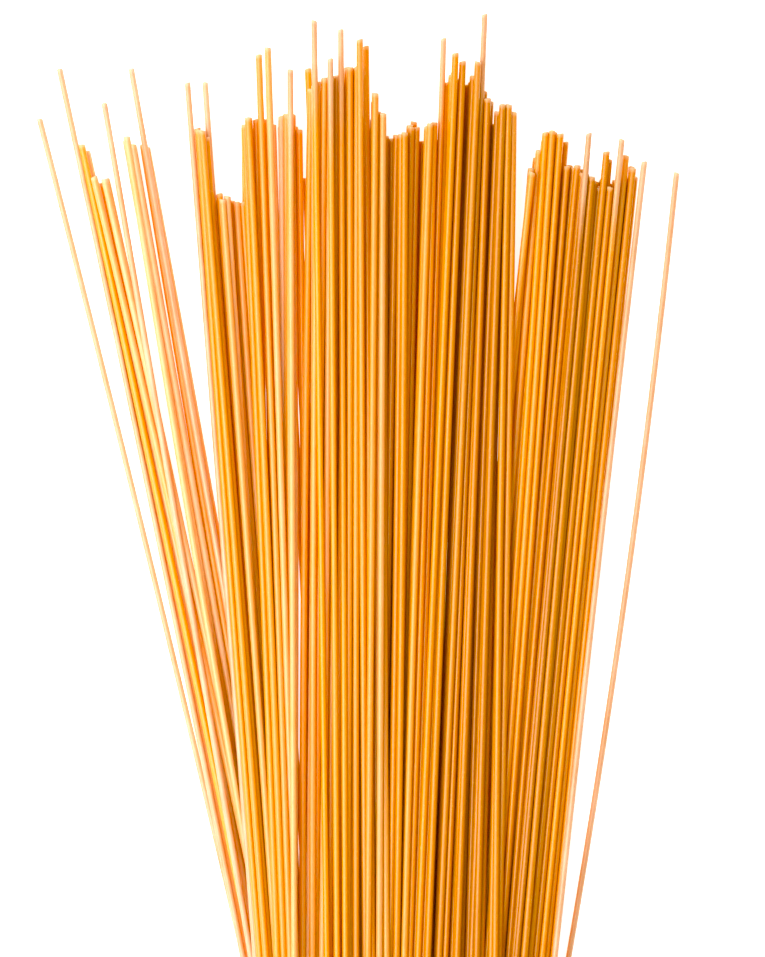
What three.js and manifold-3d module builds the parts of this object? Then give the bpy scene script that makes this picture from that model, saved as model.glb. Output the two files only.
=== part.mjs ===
// A loose bundle of dry spaghetti, lying on a table and fanned out at one end.
//
// Millimetres, +Z up. The strands run along Y: their fanned tips point to +Y, their feet to -Y, and X goes
// across the fan. The bundle is one solid: a low core under each lock of strands, with every strand that
// shows fused to it at its true size. The origin is under the middle of the whole bundle, at table height.

import * as THREE from 'three';
import { mergeVertices } from 'three/addons/utils/BufferGeometryUtils.js';
import Module from 'manifold-3d';

// ---------------------------------------------------------------- driving dimensions

const STRAND_DIAMETER = 1.7;
const STRAND_RADIUS = STRAND_DIAMETER / 2;
const STRAND_LENGTH = 260;
const LENGTH_SPREAD = 1.2; // strands are cut a little longer or shorter than the rest

// The waist is the line across the strands from which the fan is measured. Every x is measured from the
// middle of the bundle there, every reach from the waist towards the tips.
const WAIST_LEFT = -39;
const WAIST_RIGHT = 39.2;

// A lock is a clump of strands whose tips stand together.
// turn: locks of a later turn lie over those of an earlier one.
// tips: where its first and last tip stand; reach: how far those two tips reach; waist: where it crosses
// the waist; across: strands side by side in the lowest layer, one less in each layer above it; layers: how
// many lie on each other; bow: how far its strands bow to +X between tip and waist, if they do.
const LOCKS = [
  { turn: 0, tips: [-80.4, -77.2], reach: [204, 203], waist: [-38.2, -34.4], across: 2, layers: 2, bow: 0.5 },
  { turn: 0, tips: [-76.8, -73], reach: [196, 195], waist: [-34.4, -30.5], across: 3, layers: 2, bow: 0.5 },
  { turn: 0, tips: [-68, -63.3], reach: [205, 203], waist: [-32.2, -28.4], across: 5, layers: 1 },
  { turn: 0, tips: [-47.5, -39], reach: [191, 190], waist: [-33, -28], across: 5, layers: 1 },
  { turn: 0, tips: [-19, -3], reach: [213, 206], waist: [-21, -4], across: 9, layers: 1 },
  { turn: 0, tips: [-1.4, 27.6], reach: [204, 209], waist: [-3, 21.6], across: 14, layers: 1 },
  { turn: 0, tips: [33, 36], reach: [195.5, 204], waist: [12, 19.4], across: 4, layers: 1 },
  { turn: 0, tips: [36, 42.2], reach: [207, 206.5], waist: [20, 25], across: 4, layers: 2 },
  { turn: 0, tips: [42, 46], reach: [199, 198.5], waist: [26, 29.2], across: 3, layers: 2 },
  { turn: 0, tips: [46.4, 59], reach: [195, 195], waist: [30, 38.5], across: 6, layers: 1 },
  { turn: 1, tips: [-45.2, -40.4], reach: [192, 189.5], waist: [-31.5, -27.5], across: 4, layers: 1 },
  { turn: 1, tips: [-36, -30], reach: [210, 211], waist: [-29.6, -27], across: 4, layers: 1 },
  { turn: 1, tips: [-29, -25.2], reach: [211.5, 211.5], waist: [-28.7, -27], across: 3, layers: 1 },
  { turn: 1, tips: [36.5, 41], reach: [207, 207], waist: [22, 26], across: 3, layers: 1 },
  { turn: 2, tips: [-51.2, -47.6], reach: [208, 208], waist: [-34.5, -31.3], across: 3, layers: 2 },
  { turn: 2, tips: [-38.4, -36.9], reach: [210.5, 210.5], waist: [-29.3, -27.3], across: 2, layers: 2 },
  { turn: 2, tips: [-1.2, 4.9], reach: [205, 210], waist: [-2.8, 0], across: 5, layers: 3 },
  { turn: 2, tips: [7.1, 9.7], reach: [210, 209], waist: [0.4, 2.7], across: 3, layers: 3 },
  { turn: 2, tips: [11.6, 15.7], reach: [221.5, 221.5], waist: [4, 7.4], across: 3, layers: 3 },
  { turn: 2, tips: [17.9, 19.7], reach: [221, 221], waist: [9.4, 11.9], across: 2, layers: 3 },
  { turn: 2, tips: [21.6, 23.2], reach: [218.5, 213.5], waist: [13.4, 15.9], across: 2, layers: 3 },
  { turn: 2, tips: [25.4, 26.7], reach: [213.5, 213.5], waist: [18.1, 21.1], across: 2, layers: 3 },
  { turn: 2, tips: [27.9, 28.3], reach: [213.5, 213.5], waist: [23, 26], across: 2, layers: 2 },
  { turn: 2, tips: [45.4, 51.9], reach: [198, 192], waist: [30, 32.2], across: 5, layers: 3 },
  { turn: 2, tips: [53.6, 56.2], reach: [193, 197.5], waist: [34.1, 37.4], across: 3, layers: 3 },
  { turn: 2, tips: [57.8, 59.8], reach: [198, 198], waist: [38.4, 39.2], across: 2, layers: 2 },
  { turn: 3, tips: [-21.4, -15.1], reach: [218, 222], waist: [-23.3, -16.6], across: 5, layers: 3 },
  { turn: 3, tips: [-13.4, -8.1], reach: [223, 223], waist: [-14.9, -9.4], across: 4, layers: 3 },
  { turn: 3, tips: [-6.4, -3.1], reach: [217, 206], waist: [-7.7, -3.9], across: 3, layers: 3 },
];

// Single strands, whose tips stand out of the locks or lie beside them.
const SINGLES = [
  { turn: 0, tip: -90.1, reach: 210, waist: -39, bow: 0.7 },
  { turn: 0, tip: 70.4, reach: 196.5, waist: 42.6, bow: 1.7 },
  { turn: 0, tip: -39, reach: 208, waist: -35 },
  { turn: 0, tip: -37.5, reach: 207, waist: -22.5 },
  { turn: 0, tip: -23.5, reach: 195, waist: -17 },
  { turn: 0, tip: -29.4, reach: 208, waist: -19.6 },
  { turn: 0, tip: -27, reach: 209, waist: -17.5 },
  { turn: 0, tip: -25.5, reach: 208, waist: -16 },
  { turn: 0, tip: -31, reach: 208.5, waist: -24.8 },
  { turn: 0, tip: -25.2, reach: 207, waist: -22.2 },
  { turn: 0, tip: -1.9, reach: 204, waist: -3.9 },
  { turn: 1, tip: -73.8, reach: 213.5, waist: -36.4 },
  { turn: 1, tip: -66.6, reach: 222.4, waist: -27 },
  { turn: 1, tip: -84.6, reach: 222.4, waist: -38.8, bow: 0.5 },
  { turn: 1, tip: -68, reach: 205, waist: -33, bow: -0.4 },
  { turn: 2, tip: -52.5, reach: 219, waist: -35.2 },
  { turn: 2, tip: -48.4, reach: 219, waist: -32.5 },
  { turn: 2, tip: -43.5, reach: 189.5, waist: -30 },
  { turn: 3, tip: 48, reach: 206, waist: 30 },
  { turn: 3, tip: 52, reach: 201.5, waist: 32.5 },
  { turn: 3, tip: 56, reach: 204.5, waist: 36 },
  { turn: 3, tip: 61.6, reach: 199, waist: 39.2, bow: -0.2 },
  { turn: 3, tip: 53, reach: 199.5, waist: 33.6 },
  { turn: 3, tip: 56.9, reach: 200.5, waist: 36.8 },
  { turn: 3, tip: 53.5, reach: 192.5, waist: 34.5 },
  { turn: 3, tip: -33, reach: 227.5, waist: -26 },
  { turn: 3, tip: -34.5, reach: 225.8, waist: -27 },
  { turn: 3, tip: -27, reach: 222, waist: -26.3 },
  { turn: 3, tip: -23, reach: 222.5, waist: -14 },
  { turn: 4, tip: -21, reach: 234, waist: -18 },
  { turn: 4, tip: -14.5, reach: 232, waist: -13 },
  { turn: 4, tip: -10, reach: 229.5, waist: -8 },
  { turn: 4, tip: -8, reach: 228, waist: -6 },
  { turn: 4, tip: 11.5, reach: 230, waist: 4.5 },
  { turn: 4, tip: 14.5, reach: 226, waist: 5.4 },
  { turn: 4, tip: 16, reach: 224, waist: 7 },
  { turn: 4, tip: 22, reach: 236, waist: 11.8 },
  { turn: 4, tip: 20, reach: 224, waist: 10.6 },
  { turn: 4, tip: -17, reach: 224.5, waist: -15 },
  { turn: 4, tip: -5.6, reach: 216, waist: -7.2 },
  { turn: 4, tip: -3.8, reach: 211, waist: -4.8 },
];
const TURNS = 5;

// How uneven a lock is: places as a share of its width, reaches and bows in millimetres.
const SEED = 7;
const TIP_JITTER = 0.1;
const WAIST_JITTER = 0.12;
const TOP_REACH_DROP = 1.2;
const UNDER_REACH_DROP = 3;
const LOCK_BOW = 0.5;

// How far a strand may be pushed sideways from the place where it is drawn.
const LOCK_DRIFT = 1.2;
const SINGLE_DRIFT = 0.4;

// Settling: the strands start a little apart in height, in the order they are laid, and sink while
// overlaps are pushed out at stations along their length.
const START_RISE = 0.05;
const SINK = 0.04;
const SINK_PASSES = 390;
const PASSES = 600;
const FIRST_STATION = -72;
const LAST_STATION = 240;
const STATION_STEP = 12;
const LATER_ON_TOP = 0.6; // how strongly a strand that is laid later is pushed up and not sideways
const PUSH_SHARE = 2.5; // the pushes on one strand are averaged, times this
const WAIST_PULL = 0.03; // share of its drift that a strand is pulled back each pass
const TIP_PULL = 0.09;
const LEAST_PULL = 0.1;

// The solid
const SIDES = 6;
const BOWED_STEPS = 4;
const LEAST_BOW = 0.6; // a strand that bows less is one straight prism
const CORE_REVEAL = 0.25; // how far the core stays under the middle of the strands it carries
const CORE_FROM_FOOT = 6;
const CORE_FROM_TIP = 10;
const CORE_STATIONS = 3;
const WELD = 1e-4;

// A strand is fused on where it shows from above on at least this share of its length.
const LEAST_SHOWN = 0.1;
const LOOK_STEP = 8;
const LOOK_POINTS = [-0.7, -0.35, 0, 0.35, 0.7];

// ---------------------------------------------------------------- laying the strands

function makeRandom(seed) {
  let state = seed;
  return () => {
    state = (state * 1664525 + 1013904223) % 4294967296;
    return state / 4294967296;
  };
}

function makeStrand(lock, tip, reach, waist, bow, length, drift) {
  const slope = (tip - waist) / reach;
  const foot = reach - length / Math.sqrt(1 + slope * slope);
  return { lock, tip, reach, waist, bow, foot, drift };
}

const clamp = (value, low, high) => Math.min(Math.max(value, low), high);

// All strands in the order they are laid: turn by turn, and within a turn layer by layer.
function layStrands() {
  const random = makeRandom(SEED);
  const either = () => 2 * random() - 1;
  const mix = (pair, share) => pair[0] + (pair[1] - pair[0]) * share;
  const strands = [];
  for (let turn = 0; turn < TURNS; turn++) {
    for (const single of SINGLES.filter((s) => s.turn === turn)) {
      const length = STRAND_LENGTH + LENGTH_SPREAD * either();
      const { tip, reach, waist, bow = 0 } = single;
      strands.push(makeStrand(null, tip, reach, waist, bow, length, SINGLE_DRIFT));
    }
    const locks = LOCKS.filter((lock) => lock.turn === turn);
    const deepest = Math.max(0, ...locks.map((lock) => lock.layers));
    for (let layer = 0; layer < deepest; layer++) {
      for (const lock of locks.filter((one) => layer < one.layers)) {
        const count = Math.max(1, lock.across - layer);
        const places = [...Array(count).keys()];
        const everyOther = [...places.filter((p) => p % 2 === 0), ...places.filter((p) => p % 2 === 1)];
        for (const place of everyOther) {
          const share = (place + (lock.across - count + 1) / 2) / lock.across;
          const tipShare = clamp(share + TIP_JITTER * either(), 0.03, 0.97);
          const waistShare = clamp(tipShare + WAIST_JITTER * either(), 0, 1);
          const drop = (layer === lock.layers - 1 ? TOP_REACH_DROP : UNDER_REACH_DROP) * random();
          const reach = mix(lock.reach, tipShare) - drop;
          const bow = (lock.bow ?? 0) + LOCK_BOW * either();
          const length = STRAND_LENGTH + LENGTH_SPREAD * either();
          const tip = mix(lock.tips, tipShare);
          const waist = mix(lock.waist, waistShare);
          strands.push(makeStrand(lock, tip, reach, waist, bow, length, LOCK_DRIFT));
        }
      }
    }
  }
  return strands;
}

// Where a strand's middle line is across the bundle and above the table, at a distance from the waist.
function acrossAt(strand, y) {
  const share = y / strand.reach;
  return strand.waist + (strand.tip - strand.waist) * share + strand.bow * 4 * share * (1 - share);
}

function heightAt(strand, y) {
  const share = (y - strand.foot) / (strand.reach - strand.foot);
  return strand.footHeight * (1 - share) + strand.tipHeight * share;
}

// ---------------------------------------------------------------- settling the heap

function settle(strands) {
  const stations = [];
  for (let y = FIRST_STATION; y < LAST_STATION; y += STATION_STEP) stations.push(y);
  const free = strands.map((s) => s.waist > WAIST_RIGHT + 1);
  const drawn = strands.map((s) => ({ tip: s.tip, waist: s.waist }));
  strands.forEach((strand, i) => {
    strand.footHeight = STRAND_RADIUS + START_RISE * i;
    strand.tipHeight = strand.footHeight;
  });
  for (let pass = 0; pass < PASSES; pass++) {
    const fade = Math.max(0, 1 - pass / SINK_PASSES);
    for (const strand of strands) {
      strand.footHeight -= SINK * fade;
      strand.tipHeight -= SINK * fade;
    }
    const pushes = pushApart(strands, stations);
    strands.forEach((strand, i) => {
      const push = pushes[i];
      if (push.count > 0) {
        const share = Math.min(1, PUSH_SHARE / push.count);
        strand.footHeight += push.footHeight * share;
        strand.tipHeight += push.tipHeight * share;
        strand.waist += push.waist * share;
        strand.tip += push.tip * share;
      }
      strand.footHeight = Math.max(strand.footHeight, STRAND_RADIUS);
      strand.tipHeight = Math.max(strand.tipHeight, STRAND_RADIUS);
      const pull = Math.max(fade, LEAST_PULL);
      strand.waist += (drawn[i].waist - strand.waist) * WAIST_PULL * pull;
      strand.tip += (drawn[i].tip - strand.tip) * TIP_PULL * pull;
      strand.waist = clamp(strand.waist, drawn[i].waist - strand.drift, drawn[i].waist + strand.drift);
      strand.tip = clamp(strand.tip, drawn[i].tip - strand.drift, drawn[i].tip + strand.drift);
      if (!free[i]) strand.waist = clamp(strand.waist, WAIST_LEFT, WAIST_RIGHT);
    });
  }
}

// At each station two strands are circles in one plane. Where they overlap, each is pushed half the way,
// and the push is shared between the two ends that carry it.
function pushApart(strands, stations) {
  const pushes = strands.map(() => ({ footHeight: 0, tipHeight: 0, waist: 0, tip: 0, count: 0 }));
  for (const y of stations) {
    const here = [];
    strands.forEach((strand, i) => {
      if (y < strand.foot || y > strand.reach) return;
      const rise = (y - strand.foot) / (strand.reach - strand.foot);
      const along = y / strand.reach;
      here.push({ i, x: acrossAt(strand, y), z: heightAt(strand, y), rise, along });
    });
    for (let a = 0; a < here.length; a++) {
      for (let b = a + 1; b < here.length; b++) {
        const dx = here[b].x - here[a].x;
        if (Math.abs(dx) >= STRAND_DIAMETER) continue;
        const dz = here[b].z - here[a].z;
        const distance = Math.max(Math.sqrt(dx * dx + dz * dz), 1e-6);
        const overlap = STRAND_DIAMETER - distance;
        if (overlap <= 0) continue;
        const up = dz + LATER_ON_TOP * overlap;
        const norm = Math.sqrt(dx * dx + up * up);
        addPush(pushes[here[a].i], here[a], (-overlap / 2) * (dx / norm), (-overlap / 2) * (up / norm));
        addPush(pushes[here[b].i], here[b], (overlap / 2) * (dx / norm), (overlap / 2) * (up / norm));
      }
    }
  }
  return pushes;
}

function addPush(push, point, moveX, moveZ) {
  const { rise, along } = point;
  const lift = rise * rise + (1 - rise) * (1 - rise);
  const shift = along * along + (1 - along) * (1 - along);
  push.footHeight += (moveZ * (1 - rise)) / lift;
  push.tipHeight += (moveZ * rise) / lift;
  push.waist += (moveX * (1 - along)) / shift;
  push.tip += (moveX * along) / shift;
  push.count += 1;
}

// The share of a strand's length on which it shows from above: at a look across its width, at least two of
// the points there must have no other strand over them.
function shownShare(strand, strands) {
  let looked = 0;
  let shown = 0;
  for (let y = strand.foot + LOOK_STEP / 2; y < strand.reach; y += LOOK_STEP) {
    const x = acrossAt(strand, y);
    const others = strands.filter((s) => s !== strand && y > s.foot && y < s.reach);
    const open = LOOK_POINTS.filter((offset) => {
      const surface = heightAt(strand, y) + roundHeight(offset);
      return !others.some((s) => heightAt(s, y) + roundHeight(x + offset - acrossAt(s, y)) > surface);
    });
    looked += 1;
    if (open.length >= 2) shown += 1;
  }
  return shown / looked;
}

// How high a strand's round top stands over its middle line, beside that line.
function roundHeight(offset) {
  const inside = STRAND_RADIUS * STRAND_RADIUS - offset * offset;
  return inside > 0 ? Math.sqrt(inside) : -Infinity;
}

// ---------------------------------------------------------------- solids

// A strand is a prism whose flats lie at the strand's true radius.
function strandGeometry(strand) {
  const bends = Math.abs(strand.bow) > LEAST_BOW ? BOWED_STEPS : 1;
  const corner = STRAND_RADIUS / Math.cos(Math.PI / SIDES);
  const geometry = new THREE.CylinderGeometry(corner, corner, 1, SIDES, bends, false, Math.PI / SIDES);
  const slope = (strand.tip - strand.waist) / strand.reach;
  const widen = Math.sqrt(1 + slope * slope);
  const position = geometry.attributes.position;
  for (let i = 0; i < position.count; i++) {
    const y = strand.foot + (strand.reach - strand.foot) * (position.getY(i) + 0.5);
    const x = acrossAt(strand, y) + position.getX(i) * widen;
    position.setXYZ(i, x, y, heightAt(strand, y) + position.getZ(i));
  }
  return geometry;
}

// The core under one lock: a box stretched over the lock's own strands. Its left and right sides run
// along the outermost strands, its top lies just under the middle of the highest ones.
function coreGeometry(lockStrands, across) {
  const foot = Math.max(...lockStrands.map((s) => s.foot)) + CORE_FROM_FOOT;
  const tip = Math.min(...lockStrands.map((s) => s.reach)) - CORE_FROM_TIP;
  const columns = across - 1;
  const geometry = new THREE.BoxGeometry(1, 1, 1, columns, CORE_STATIONS - 1, 1);
  const position = geometry.attributes.position;
  for (let i = 0; i < position.count; i++) {
    const y = foot + (tip - foot) * (position.getY(i) + 0.5);
    const places = lockStrands.map((s) => acrossAt(s, y));
    const left = Math.min(...places);
    const right = Math.max(...places);
    const x = left + (right - left) * (position.getX(i) + 0.5);
    const near = Math.max((right - left) / columns, STRAND_DIAMETER) * 0.6;
    let top = 0;
    lockStrands.forEach((s, k) => {
      if (Math.abs(places[k] - x) <= near) top = Math.max(top, heightAt(s, y));
    });
    position.setXYZ(i, x, y, position.getZ(i) < 0 ? 0 : Math.max(top, STRAND_RADIUS) - CORE_REVEAL);
  }
  return geometry;
}

function toManifold(wasm, geometry) {
  geometry.deleteAttribute('normal');
  geometry.deleteAttribute('uv');
  const welded = mergeVertices(geometry, WELD);
  const mesh = new wasm.Mesh({
    numProp: 3,
    vertProperties: new Float32Array(welded.attributes.position.array),
    triVerts: new Uint32Array(welded.index.array),
  });
  return new wasm.Manifold(mesh);
}

function toGeometry(manifold) {
  const mesh = manifold.getMesh();
  const geometry = new THREE.BufferGeometry();
  geometry.setAttribute('position', new THREE.BufferAttribute(mesh.vertProperties, 3));
  geometry.setIndex(new THREE.BufferAttribute(mesh.triVerts, 1));
  geometry.computeVertexNormals();
  return geometry;
}

// All cores and strands in one body. Of what the union gives, the largest shell is kept: shells inside it
// are sealed hollows, which are filled so, and shells outside it are loose scraps.
function fuse(wasm, geometries) {
  let whole = toManifold(wasm, geometries[0]);
  for (const geometry of geometries.slice(1)) whole = whole.add(toManifold(wasm, geometry));
  const shells = whole.decompose();
  return shells.reduce((best, shell) => (shell.volume() > best.volume() ? shell : best));
}

// ---------------------------------------------------------------- the part

const wasm = await Module();
wasm.setup();

const strands = layStrands();
settle(strands);

const cores = LOCKS.map((lock) => coreGeometry(strands.filter((s) => s.lock === lock), lock.across));
const shown = strands.filter((s) => shownShare(s, strands) > LEAST_SHOWN);
const bundleGeometry = toGeometry(fuse(wasm, [...cores, ...shown.map(strandGeometry)]));
bundleGeometry.computeBoundingBox();
const middle = bundleGeometry.boundingBox.getCenter(new THREE.Vector3());
bundleGeometry.translate(-middle.x, -middle.y, 0);

const dryPasta = new THREE.MeshStandardMaterial({ color: 0xe79838, roughness: 0.55, metalness: 0 });
const bundle = new THREE.Mesh(bundleGeometry, dryPasta);
bundle.name = 'spaghetti_bundle';

const part = new THREE.Group();
part.add(bundle);

export default part;
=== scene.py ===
# %% [markdown]
# # A loose bundle of dry spaghetti
#
# Some two hundred straight strands lie on a table in one loose handful. At one end they stand close
# together, at the other they fan out into locks, and a few strands stick out alone. Nothing is glued or
# tied: every strand is a round rod of amber dough that rests on the ones below it.
#
# The CAD part of this bundle is one solid with a plain core. Here that solid gives way to the real thing:
# every strand is made as a rod of its own, at its true size, and the heap is settled strand on strand.

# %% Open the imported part
import math
from collections import namedtuple

import bpy
import numpy as np
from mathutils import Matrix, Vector


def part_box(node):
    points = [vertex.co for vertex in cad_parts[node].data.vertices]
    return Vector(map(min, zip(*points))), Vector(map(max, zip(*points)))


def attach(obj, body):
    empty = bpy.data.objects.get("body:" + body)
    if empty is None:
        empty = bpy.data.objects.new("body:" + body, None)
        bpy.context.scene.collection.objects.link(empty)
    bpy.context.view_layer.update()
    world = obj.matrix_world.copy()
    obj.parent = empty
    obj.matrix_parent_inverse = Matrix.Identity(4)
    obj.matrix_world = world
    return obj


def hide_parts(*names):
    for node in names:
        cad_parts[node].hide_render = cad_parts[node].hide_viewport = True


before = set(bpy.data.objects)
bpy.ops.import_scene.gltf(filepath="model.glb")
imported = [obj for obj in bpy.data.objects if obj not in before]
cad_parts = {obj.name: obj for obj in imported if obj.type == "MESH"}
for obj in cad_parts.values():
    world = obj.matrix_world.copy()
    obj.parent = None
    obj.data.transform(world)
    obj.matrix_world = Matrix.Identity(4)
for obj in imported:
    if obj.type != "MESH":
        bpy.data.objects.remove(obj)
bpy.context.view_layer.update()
MM = 0.001
NODE = "spaghetti_bundle"
low_corner, high_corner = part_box(NODE)
print("the solid measures", [round(side / MM, 1) for side in high_corner - low_corner], "mm")

# %% [markdown]
# ## How the strands lie
#
# A heap like this could be drawn strand by strand, but then nobody could change it. It could be dropped with
# rigid bodies, but two hundred thin rods roll apart and take long to come to rest. So the bundle is laid in
# listed locks, the clumps whose tips stand together, and the computer only finds out how high each strand
# comes to lie. All lengths here are millimetres. The waist is the line across the strands from which the fan
# is measured: x runs across it from the middle of the bundle, a reach runs from it towards the tips.

# %% Sizes of a strand and of the fan
STRAND_DIAMETER = 1.7
STRAND_RADIUS = STRAND_DIAMETER / 2
STRAND_LENGTH = 260
LENGTH_SPREAD = 1.2  # a strand is cut as much as this too long or too short
WAIST_LEFT = -39
WAIST_RIGHT = 39.2
TURNS = 5  # the bundle is laid in turns, the lowest first
print("a strand is", STRAND_LENGTH, "mm long, and the waist is", WAIST_RIGHT - WAIST_LEFT, "mm across")

# %% The locks
# A lock's tips, reaches and waists are those of its first and last strand, from left to right. Then come how
# many strands it is across, how many layers deep it is, and how far its strands bow to the right.
Lock = namedtuple("Lock", "turn tips reaches waists across layers bow")
LOCKS = [
    Lock(0, (-80.4, -77.2), (204, 203), (-38.2, -34.4), 2, 2, 0.5),
    Lock(0, (-76.8, -73), (196, 195), (-34.4, -30.5), 3, 2, 0.5),
    Lock(0, (-68, -63.3), (205, 203), (-32.2, -28.4), 5, 1, 0),
    Lock(0, (-47.5, -39), (191, 190), (-33, -28), 5, 1, 0),
    Lock(0, (-19, -3), (213, 206), (-21, -4), 9, 1, 0),
    Lock(0, (-1.4, 27.6), (204, 209), (-3, 21.6), 14, 1, 0),
    Lock(0, (33, 36), (195.5, 204), (12, 19.4), 4, 1, 0),
    Lock(0, (36, 42.2), (207, 206.5), (20, 25), 4, 2, 0),
    Lock(0, (42, 46), (199, 198.5), (26, 29.2), 3, 2, 0),
    Lock(0, (46.4, 59), (195, 195), (30, 38.5), 6, 1, 0),
    Lock(1, (-45.2, -40.4), (192, 189.5), (-31.5, -27.5), 4, 1, 0),
    Lock(1, (-36, -30), (210, 211), (-29.6, -27), 4, 1, 0),
    Lock(1, (-29, -25.2), (211.5, 211.5), (-28.7, -27), 3, 1, 0),
    Lock(1, (36.5, 41), (207, 207), (22, 26), 3, 1, 0),
    Lock(2, (-51.2, -47.6), (208, 208), (-34.5, -31.3), 3, 2, 0),
    Lock(2, (-38.4, -36.9), (210.5, 210.5), (-29.3, -27.3), 2, 2, 0),
    Lock(2, (-1.2, 4.9), (205, 210), (-2.8, 0), 5, 3, 0),
    Lock(2, (7.1, 9.7), (210, 209), (0.4, 2.7), 3, 3, 0),
    Lock(2, (11.6, 15.7), (221.5, 221.5), (4, 7.4), 3, 3, 0),
    Lock(2, (17.9, 19.7), (221, 221), (9.4, 11.9), 2, 3, 0),
    Lock(2, (21.6, 23.2), (218.5, 213.5), (13.4, 15.9), 2, 3, 0),
    Lock(2, (25.4, 26.7), (213.5, 213.5), (18.1, 21.1), 2, 3, 0),
    Lock(2, (27.9, 28.3), (213.5, 213.5), (23, 26), 2, 2, 0),
    Lock(2, (45.4, 51.9), (198, 192), (30, 32.2), 5, 3, 0),
    Lock(2, (53.6, 56.2), (193, 197.5), (34.1, 37.4), 3, 3, 0),
    Lock(2, (57.8, 59.8), (198, 198), (38.4, 39.2), 2, 2, 0),
    Lock(3, (-21.4, -15.1), (218, 222), (-23.3, -16.6), 5, 3, 0),
    Lock(3, (-13.4, -8.1), (223, 223), (-14.9, -9.4), 4, 3, 0),
    Lock(3, (-6.4, -3.1), (217, 206), (-7.7, -3.9), 3, 3, 0),
]
print(len(LOCKS), "locks are laid out")

# %% The single strands
Single = namedtuple("Single", "turn tip reach waist bow")
SINGLES = [
    Single(0, -90.1, 210, -39, 0.7),
    Single(0, 70.4, 196.5, 42.6, 1.7),
    Single(0, -39, 208, -35, 0),
    Single(0, -37.5, 207, -22.5, 0),
    Single(0, -23.5, 195, -17, 0),
    Single(0, -29.4, 208, -19.6, 0),
    Single(0, -27, 209, -17.5, 0),
    Single(0, -25.5, 208, -16, 0),
    Single(0, -31, 208.5, -24.8, 0),
    Single(0, -25.2, 207, -22.2, 0),
    Single(0, -1.9, 204, -3.9, 0),
    Single(1, -73.8, 213.5, -36.4, 0),
    Single(1, -66.6, 222.4, -27, 0),
    Single(1, -84.6, 222.4, -38.8, 0.5),
    Single(1, -68, 205, -33, -0.4),
    Single(2, -52.5, 219, -35.2, 0),
    Single(2, -48.4, 219, -32.5, 0),
    Single(2, -43.5, 189.5, -30, 0),
    Single(3, 48, 206, 30, 0),
    Single(3, 52, 201.5, 32.5, 0),
    Single(3, 56, 204.5, 36, 0),
    Single(3, 61.6, 199, 39.2, -0.2),
    Single(3, 53, 199.5, 33.6, 0),
    Single(3, 56.9, 200.5, 36.8, 0),
    Single(3, 53.5, 192.5, 34.5, 0),
    Single(3, -33, 227.5, -26, 0),
    Single(3, -34.5, 225.8, -27, 0),
    Single(3, -27, 222, -26.3, 0),
    Single(3, -23, 222.5, -14, 0),
    Single(4, -21, 234, -18, 0),
    Single(4, -14.5, 232, -13, 0),
    Single(4, -10, 229.5, -8, 0),
    Single(4, -8, 228, -6, 0),
    Single(4, 11.5, 230, 4.5, 0),
    Single(4, 14.5, 226, 5.4, 0),
    Single(4, 16, 224, 7, 0),
    Single(4, 22, 236, 11.8, 0),
    Single(4, 20, 224, 10.6, 0),
    Single(4, -17, 224.5, -15, 0),
    Single(4, -5.6, 216, -7.2, 0),
    Single(4, -3.8, 211, -4.8, 0),
]
print(len(SINGLES), "more strands are laid one by one")

# %% [markdown]
# ## Laying the strands
#
# No two strands of a lock stand at quite the same place, so each gets a little chance of its own. The chance
# comes from one seeded row of numbers, so the same bundle lies there every time the script runs.

# %% Chance that is the same every time
SEED = 7
CHANCE_FACTOR = 1664525
CHANCE_STEP = 1013904223
CHANCE_WRAP = 2**32


def make_random(seed):
    """A row of numbers from 0 to 1, each worked out from the one before."""
    state = seed
    while True:
        state = (state * CHANCE_FACTOR + CHANCE_STEP) % CHANCE_WRAP
        yield state / CHANCE_WRAP


def either(chance):
    """The next number, from -1 to 1."""
    return 2 * next(chance) - 1


# %% One strand, and one layer of a lock
TIP_JITTER = 0.1  # as a share of the lock's width, as are the next two
WAIST_JITTER = 0.12
LOCK_EDGE = 0.03  # no tip comes closer to the edge of its lock
TOP_REACH_DROP = 1.2  # a strand of the top layer ends as much as this short of its lock's reach,
UNDER_REACH_DROP = 3  # and one of the layers below it as much as this
LOCK_BOW = 0.5  # a strand of a lock bows as much as this more, or less, than its lock
LOCK_DRIFT = 1.2  # how far a strand may be pushed sideways from the place where it is laid
SINGLE_DRIFT = 0.4


def mix(pair, share):
    return pair[0] + (pair[1] - pair[0]) * share


def clamp(value, low, high):
    return min(max(value, low), high)


def strand(tip, reach, waist, bow, length, drift):
    """What is known of a strand before the heap settles; the foot follows from its length."""
    slope = (tip - waist) / reach
    foot = reach - length / math.sqrt(1 + slope * slope)
    return tip, reach, waist, bow, foot, drift


def lay_layer(lock, layer, chance):
    """One layer of a lock: every other strand first, and then those that drop in between."""
    count = max(1, lock.across - layer)
    places = range(count)
    most_drop = TOP_REACH_DROP if layer == lock.layers - 1 else UNDER_REACH_DROP
    laid = []
    for place in [*places[::2], *places[1::2]]:
        share = (place + (lock.across - count + 1) / 2) / lock.across
        tip_share = clamp(share + TIP_JITTER * either(chance), LOCK_EDGE, 1 - LOCK_EDGE)
        waist_share = clamp(tip_share + WAIST_JITTER * either(chance), 0, 1)
        reach = mix(lock.reaches, tip_share) - most_drop * next(chance)
        bow = lock.bow + LOCK_BOW * either(chance)
        length = STRAND_LENGTH + LENGTH_SPREAD * either(chance)
        tip = mix(lock.tips, tip_share)
        waist = mix(lock.waists, waist_share)
        laid.append(strand(tip, reach, waist, bow, length, LOCK_DRIFT))
    return laid


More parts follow.
